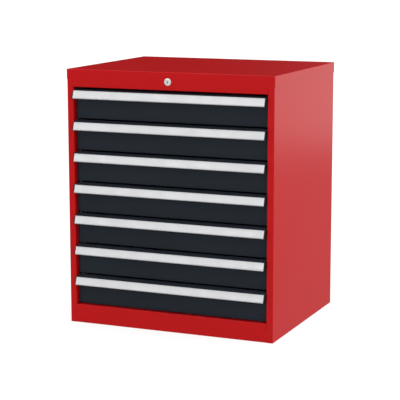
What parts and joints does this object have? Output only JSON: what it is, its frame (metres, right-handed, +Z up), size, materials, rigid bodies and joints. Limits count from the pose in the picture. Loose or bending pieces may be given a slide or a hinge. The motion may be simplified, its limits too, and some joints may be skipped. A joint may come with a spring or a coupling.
{
  "type": "drawer cabinet",
  "caption": "Steel tool cabinet with a stack of full-width drawers on telescopic runners, sloping aluminium grip strips and a central cam lock.",
  "frame": {"origin": "on the floor, in the middle of the housing's footprint and of the four floor fixing holes", "axes": "+X to the right as seen from the front, +Y to the back, drawers open towards -Y, +Z up"},
  "size_m": [0.7, 0.5859, 0.82],
  "materials": {
    "red_powder_coat": "satin powder coat, bright red",
    "anthracite_powder_coat": "satin powder coat, anthracite grey",
    "tray_powder_coat": "satin powder coat, anthracite grey, on the drawer pans",
    "grip_aluminium": "satin anodised",
    "black_plastic": "moulded, matt",
    "zinc_steel": "bright zinc plated",
    "lock_chrome": "polished chrome"
  },
  "bodies": {
    "housing": {"side_panel_right": "red_powder_coat", "side_panel_left": "red_powder_coat", "back_panel": "red_powder_coat", "top_cover": "red_powder_coat", "plinth_rail": "red_powder_coat", "base_panel": "red_powder_coat", "cross_rails": "red_powder_coat", "runner_posts": "zinc_steel", "cabinet_rails": "zinc_steel", "rail_screws": "zinc_steel", "back_screws": "zinc_steel", "lock_housing": "lock_chrome", "lock_nut": "zinc_steel", "lock_guides": "black_plastic"},
    "lock_plug": {"lock_plug": "lock_chrome", "lock_cam": "zinc_steel"},
    "lock_frame": {"lock_frame": "zinc_steel"},
    "drawer_1": {"drawer_1_tray": "tray_powder_coat", "drawer_1_front": "anthracite_powder_coat", "drawer_1_grip": "grip_aluminium", "drawer_1_end_caps": "black_plastic", "drawer_1_rails": "zinc_steel"},
    "slide_1": {"slide_1_middle_rails": "zinc_steel"},
    "drawer_2": {"drawer_2_tray": "tray_powder_coat", "drawer_2_front": "anthracite_powder_coat", "drawer_2_grip": "grip_aluminium", "drawer_2_end_caps": "black_plastic", "drawer_2_rails": "zinc_steel"},
    "slide_2": {"slide_2_middle_rails": "zinc_steel"},
    "drawer_3": {"drawer_3_tray": "tray_powder_coat", "drawer_3_front": "anthracite_powder_coat", "drawer_3_grip": "grip_aluminium", "drawer_3_end_caps": "black_plastic", "drawer_3_rails": "zinc_steel"},
    "slide_3": {"slide_3_middle_rails": "zinc_steel"},
    "drawer_4": {"drawer_4_tray": "tray_powder_coat", "drawer_4_front": "anthracite_powder_coat", "drawer_4_grip": "grip_aluminium", "drawer_4_end_caps": "black_plastic", "drawer_4_rails": "zinc_steel"},
    "slide_4": {"slide_4_middle_rails": "zinc_steel"},
    "drawer_5": {"drawer_5_tray": "tray_powder_coat", "drawer_5_front": "anthracite_powder_coat", "drawer_5_grip": "grip_aluminium", "drawer_5_end_caps": "black_plastic", "drawer_5_rails": "zinc_steel"},
    "slide_5": {"slide_5_middle_rails": "zinc_steel"},
    "drawer_6": {"drawer_6_tray": "tray_powder_coat", "drawer_6_front": "anthracite_powder_coat", "drawer_6_grip": "grip_aluminium", "drawer_6_end_caps": "black_plastic", "drawer_6_rails": "zinc_steel"},
    "slide_6": {"slide_6_middle_rails": "zinc_steel"},
    "drawer_7": {"drawer_7_tray": "tray_powder_coat", "drawer_7_front": "anthracite_powder_coat", "drawer_7_grip": "grip_aluminium", "drawer_7_end_caps": "black_plastic", "drawer_7_rails": "zinc_steel"},
    "slide_7": {"slide_7_middle_rails": "zinc_steel"}
  },
  "joints": [
    {"name": "drawer_1_slide", "type": "slide", "parent": "housing", "child": "drawer_1", "axis": [0, -1, 0], "range_m": [0, 0.48]},
    {"name": "drawer_2_slide", "type": "slide", "parent": "housing", "child": "drawer_2", "axis": [0, -1, 0], "range_m": [0, 0.48]},
    {"name": "drawer_3_slide", "type": "slide", "parent": "housing", "child": "drawer_3", "axis": [0, -1, 0], "range_m": [0, 0.48]},
    {"name": "drawer_4_slide", "type": "slide", "parent": "housing", "child": "drawer_4", "axis": [0, -1, 0], "range_m": [0, 0.48]},
    {"name": "drawer_5_slide", "type": "slide", "parent": "housing", "child": "drawer_5", "axis": [0, -1, 0], "range_m": [0, 0.48]},
    {"name": "drawer_6_slide", "type": "slide", "parent": "housing", "child": "drawer_6", "axis": [0, -1, 0], "range_m": [0, 0.48]},
    {"name": "drawer_7_slide", "type": "slide", "parent": "housing", "child": "drawer_7", "axis": [0, -1, 0], "range_m": [0, 0.48]},
    {"name": "slide_1_slide", "type": "slide", "parent": "housing", "child": "slide_1", "axis": [0, -1, 0], "range_m": [0, 0.24]},
    {"name": "slide_2_slide", "type": "slide", "parent": "housing", "child": "slide_2", "axis": [0, -1, 0], "range_m": [0, 0.24]},
    {"name": "slide_3_slide", "type": "slide", "parent": "housing", "child": "slide_3", "axis": [0, -1, 0], "range_m": [0, 0.24]},
    {"name": "slide_4_slide", "type": "slide", "parent": "housing", "child": "slide_4", "axis": [0, -1, 0], "range_m": [0, 0.24]},
    {"name": "slide_5_slide", "type": "slide", "parent": "housing", "child": "slide_5", "axis": [0, -1, 0], "range_m": [0, 0.24]},
    {"name": "slide_6_slide", "type": "slide", "parent": "housing", "child": "slide_6", "axis": [0, -1, 0], "range_m": [0, 0.24]},
    {"name": "slide_7_slide", "type": "slide", "parent": "housing", "child": "slide_7", "axis": [0, -1, 0], "range_m": [0, 0.24]},
    {"name": "lock_turn", "type": "hinge", "parent": "housing", "child": "lock_plug", "pos_m": [0, -0.285, 0.79], "axis": [0, 1, 0], "range_deg": [0, 90]},
    {"name": "lock_frame_slide", "type": "slide", "parent": "housing", "child": "lock_frame", "axis": [0, 0, 1], "range_m": [-0.01414, 0]}
  ],
  "couplings": [
    {"joint": "slide_1_slide", "follows": "drawer_1_slide", "ratio": 0.5},
    {"joint": "slide_2_slide", "follows": "drawer_2_slide", "ratio": 0.5},
    {"joint": "slide_3_slide", "follows": "drawer_3_slide", "ratio": 0.5},
    {"joint": "slide_4_slide", "follows": "drawer_4_slide", "ratio": 0.5},
    {"joint": "slide_5_slide", "follows": "drawer_5_slide", "ratio": 0.5},
    {"joint": "slide_6_slide", "follows": "drawer_6_slide", "ratio": 0.5},
    {"joint": "slide_7_slide", "follows": "drawer_7_slide", "ratio": 0.5},
    {"joint": "lock_turn", "follows": "lock_frame_slide", "rad_per_m": -111.07}
  ]
}
